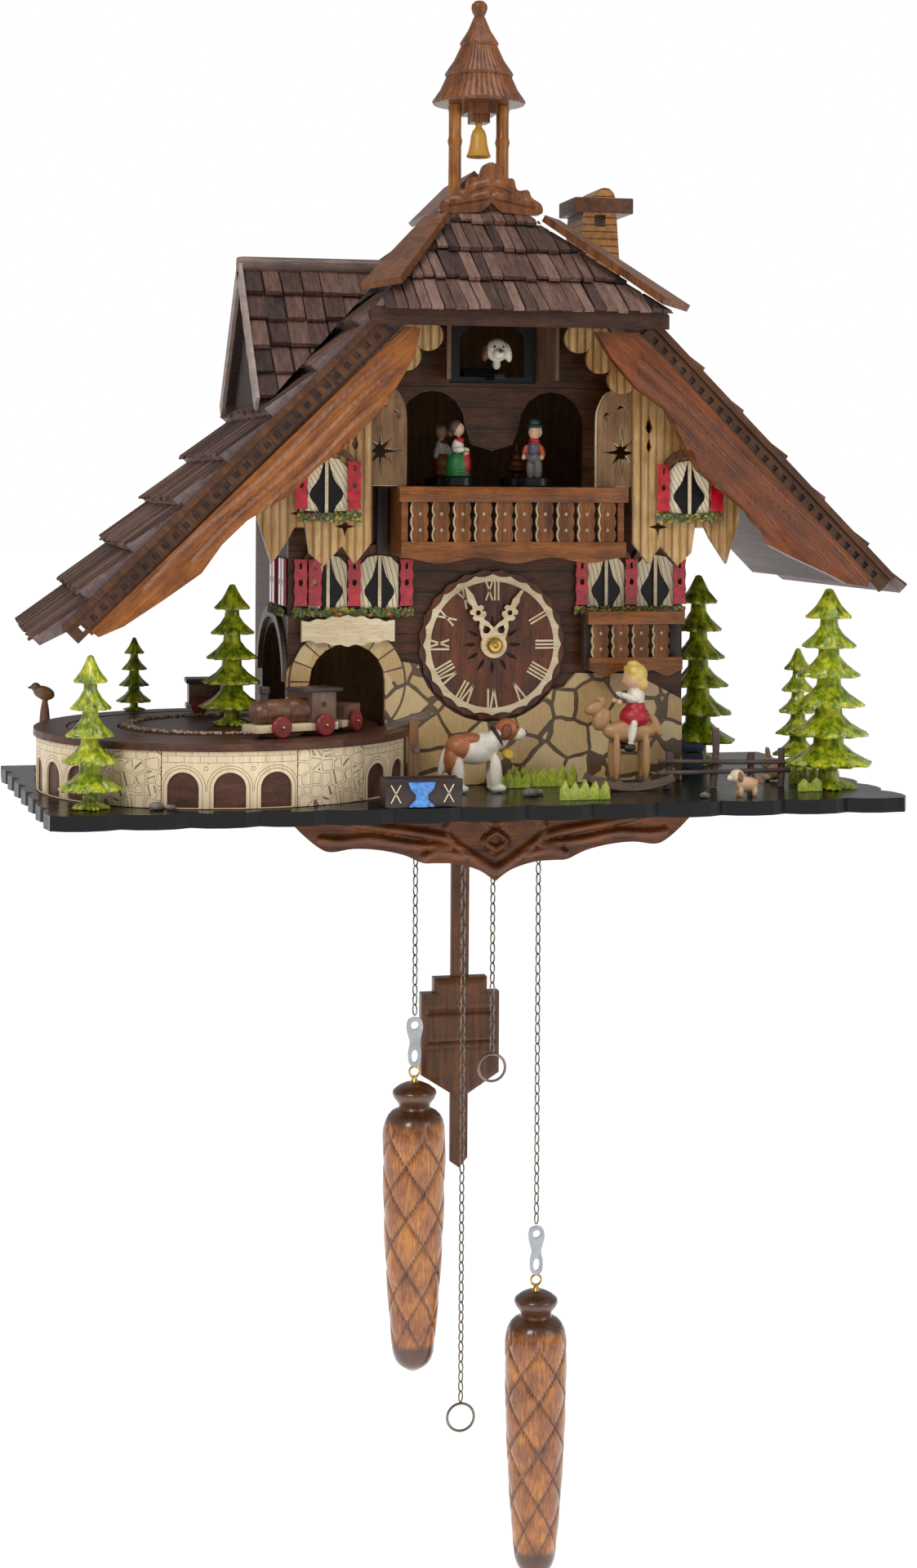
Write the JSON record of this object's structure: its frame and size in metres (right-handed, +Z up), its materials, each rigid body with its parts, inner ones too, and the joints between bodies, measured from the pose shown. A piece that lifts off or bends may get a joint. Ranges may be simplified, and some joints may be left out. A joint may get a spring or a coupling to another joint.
{
  "type": "cuckoo clock",
  "caption": "Wall-hung chalet cuckoo clock with dial, herald, turning dancers, circling train, pendulum and cone weights on chains.",
  "frame": {"origin": "on the wall, straight behind the middle of the dial, in the back panel's rear face", "axes": "+X to the viewer's right, +Y into the wall, +Z up"},
  "size_m": [0.4912, 0.2337, 0.9141],
  "materials": {
    "black_lacquer": "gloss black lacquer on wood",
    "carved_wood": "stained satin lacquer",
    "walnut": "stained satin lacquer",
    "printed_wood": "satin, cut and burned stone joints",
    "maple": "clear satin lacquer",
    "shingle_wood": "rough greyed stain",
    "golden_wood": "stained satin lacquer",
    "green_resin": "tinted gloss",
    "painted_resin": "hand painted",
    "brass": "polished",
    "nickel": "dark nickel plate",
    "black_plastic": "moulded"
  },
  "bodies": {
    "case": {"base_plate": "black_lacquer", "base_carving": "carved_wood", "back_panel": "walnut", "left_wall": "walnut", "right_wall": "walnut", "house_front": "walnut", "stone_facade": "printed_wood", "dial": "maple", "clock_movement": "black_plastic", "drive_unit": "black_plastic", "roof_left": "shingle_wood", "roof_right": "shingle_wood", "hip_roof": "shingle_wood", "hip_beam_left": "carved_wood", "hip_beam_right": "carved_wood", "ridge_cap": "carved_wood", "crest": "carved_wood", "barge_left": "carved_wood", "barge_right": "carved_wood", "gable_left": "golden_wood", "gable_right": "golden_wood", "dormer": "shingle_wood", "chimney": "carved_wood", "turret_roof": "carved_wood", "turret_post_left": "carved_wood", "turret_post_right": "carved_wood", "balcony_upper": "carved_wood", "balcony_lower": "carved_wood", "platform": "maple", "platform_island": "carved_wood", "hanger_frame": "walnut", "fir_front_left": "green_resin", "fir_island": "green_resin", "fir_right": "green_resin", "bernard_dog": "painted_resin", "fountain": "walnut"},
    "hatch": {"rear_hatch": "walnut"},
    "minute": {"minute_hand": "maple", "hand_nut": "brass"},
    "hour": {"hour_hand": "maple"},
    "door_left": {"cuckoo_door_left": "walnut"},
    "door_right": {"cuckoo_door_right": "walnut"},
    "herald": {"herald_dog": "painted_resin"},
    "carousel_body": {"carousel": "black_lacquer"},
    "dancer_a": {"dancer_1": "painted_resin"},
    "dancer_b": {"dancer_2": "painted_resin"},
    "dancer_c": {"dancer_3": "painted_resin"},
    "dancer_d": {"dancer_4": "painted_resin"},
    "train": {"turntable": "carved_wood", "locomotive": "walnut", "tender": "walnut", "wagon": "walnut"},
    "pendulum_body": {"pendulum": "walnut"},
    "weight_left": {"weight_chain_left": "nickel", "cone_weight_left": "carved_wood"},
    "weight_right": {"weight_chain_right": "nickel", "cone_weight_right": "carved_wood"},
    "pull_long": {"pull_chain_long": "nickel"},
    "pull_short": {"pull_chain_short": "nickel"},
    "rocker": {"rocking_child": "painted_resin"}
  },
  "joints": [
    {"name": "hatch_pivot", "type": "hinge", "parent": "case", "child": "hatch", "pos_m": [0.022, -0.002, -0.031], "axis": [0, 0, 1], "range_deg": [0, 100]},
    {"name": "minute_spin", "type": "hinge", "parent": "case", "child": "minute", "pos_m": [0, -0.143, 0], "axis": [0, 1, 0], "continuous": true},
    {"name": "hour_spin", "type": "hinge", "parent": "case", "child": "hour", "pos_m": [0, -0.143, 0], "axis": [0, 1, 0], "continuous": true},
    {"name": "herald_slide", "type": "slide", "parent": "case", "child": "herald", "axis": [0, 1, 0], "range_m": [0, 0.04]},
    {"name": "door_left_hinge", "type": "hinge", "parent": "case", "child": "door_left", "pos_m": [-0.0262, -0.1368, 0.18], "axis": [0, 0, 1], "range_deg": [0, 100]},
    {"name": "door_right_hinge", "type": "hinge", "parent": "case", "child": "door_right", "pos_m": [0.0262, -0.1368, 0.18], "axis": [0, 0, 1], "range_deg": [-100, 0]},
    {"name": "carousel_spin", "type": "hinge", "parent": "case", "child": "carousel_body", "pos_m": [0, -0.124, 0.0885], "axis": [0, 0, 1], "continuous": true},
    {"name": "dancer_spin_1", "type": "hinge", "parent": "carousel_body", "child": "dancer_a", "pos_m": [-0.02192, -0.14592, 0.0888], "axis": [0, 0, 1], "continuous": true},
    {"name": "dancer_spin_2", "type": "hinge", "parent": "carousel_body", "child": "dancer_b", "pos_m": [0.02192, -0.14592, 0.0888], "axis": [0, 0, 1], "continuous": true},
    {"name": "dancer_spin_3", "type": "hinge", "parent": "carousel_body", "child": "dancer_c", "pos_m": [0.02192, -0.10208, 0.0888], "axis": [0, 0, 1], "continuous": true},
    {"name": "dancer_spin_4", "type": "hinge", "parent": "carousel_body", "child": "dancer_d", "pos_m": [-0.02192, -0.10208, 0.0888], "axis": [0, 0, 1], "continuous": true},
    {"name": "train_spin", "type": "hinge", "parent": "case", "child": "train", "pos_m": [-0.148, -0.117, -0.045], "axis": [0, 0, 1], "continuous": true},
    {"name": "pendulum_swing", "type": "hinge", "parent": "case", "child": "pendulum_body", "pos_m": [0, -0.058, -0.03], "axis": [0, 1, 0], "range_deg": [-5, 5]},
    {"name": "weight_left_swing", "type": "hinge", "parent": "case", "child": "weight_left", "pos_m": [-0.0333, -0.09, -0.0786], "axis": [1, 0, 0], "range_deg": [-20, 1]},
    {"name": "weight_right_swing", "type": "hinge", "parent": "case", "child": "weight_right", "pos_m": [0.0397, -0.09, -0.0786], "axis": [1, 0, 0], "range_deg": [-20, 1]},
    {"name": "pull_long_swing", "type": "hinge", "parent": "case", "child": "pull_long", "pos_m": [-0.005, -0.09, -0.0786], "axis": [1, 0, 0], "range_deg": [-20, 1]},
    {"name": "pull_short_swing", "type": "hinge", "parent": "case", "child": "pull_short", "pos_m": [0.0125, -0.09, -0.0786], "axis": [1, 0, 0], "range_deg": [-20, 1]},
    {"name": "rocker_rock", "type": "hinge", "parent": "case", "child": "rocker", "pos_m": [0.07, -0.173, -0.0181], "axis": [0, 1, 0], "range_deg": [-6, 6]}
  ],
  "couplings": [
    {"joint": "hour_spin", "follows": "minute_spin", "ratio": 0.083333},
    {"joint": "door_left_hinge", "follows": "herald_slide", "rad_per_m": 43.6},
    {"joint": "door_right_hinge", "follows": "herald_slide", "rad_per_m": -43.6},
    {"joint": "dancer_spin_1", "follows": "carousel_spin", "ratio": -4},
    {"joint": "dancer_spin_2", "follows": "carousel_spin", "ratio": -4},
    {"joint": "dancer_spin_3", "follows": "carousel_spin", "ratio": -4},
    {"joint": "dancer_spin_4", "follows": "carousel_spin", "ratio": -4}
  ]
}
